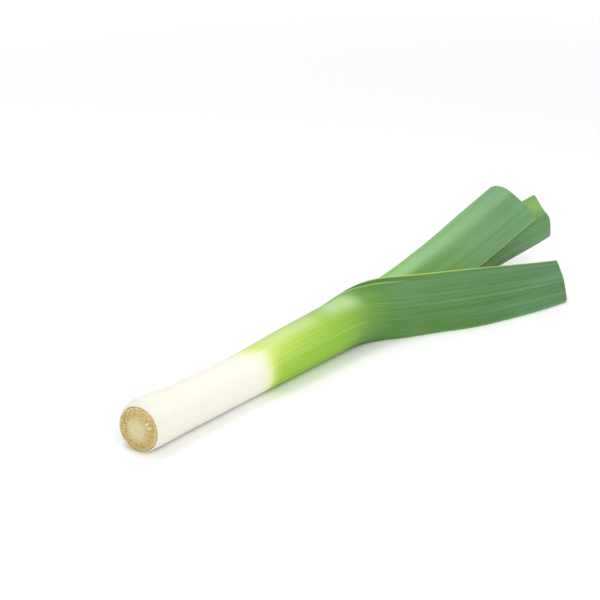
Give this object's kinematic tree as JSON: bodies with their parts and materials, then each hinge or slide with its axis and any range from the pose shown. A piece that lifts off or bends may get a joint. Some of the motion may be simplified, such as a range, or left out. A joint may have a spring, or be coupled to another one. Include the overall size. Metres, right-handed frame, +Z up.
{
  "type": "leek",
  "caption": "Trimmed leek lying on its side: white shaft with a clipped root plate, opening into folded green leaves cut square at their tips.",
  "frame": {"origin": "middle of the floor area under the leek, on the surface it lies on", "axes": "+X from the root end towards the leaf tips, +Z up, +Y to the side away from the outer leaf's keel"},
  "size_m": [0.5031, 0.1291, 0.0909],
  "materials": {
    "root_plate": "rough dry clipped roots",
    "outer_leaf": "smooth fresh leaf, white at the shaft and green at the blade",
    "second_leaf": "smooth fresh leaf with a faint bloom",
    "inner_leaves": "smooth fresh leaf with a faint bloom"
  },
  "bodies": {
    "root": {"root_plate": "root_plate", "outer_leaf": "outer_leaf", "second_leaf": "second_leaf", "third_leaf": "inner_leaves", "fourth_leaf": "inner_leaves", "heart_leaf": "inner_leaves"}
  },
  "joints": []
}
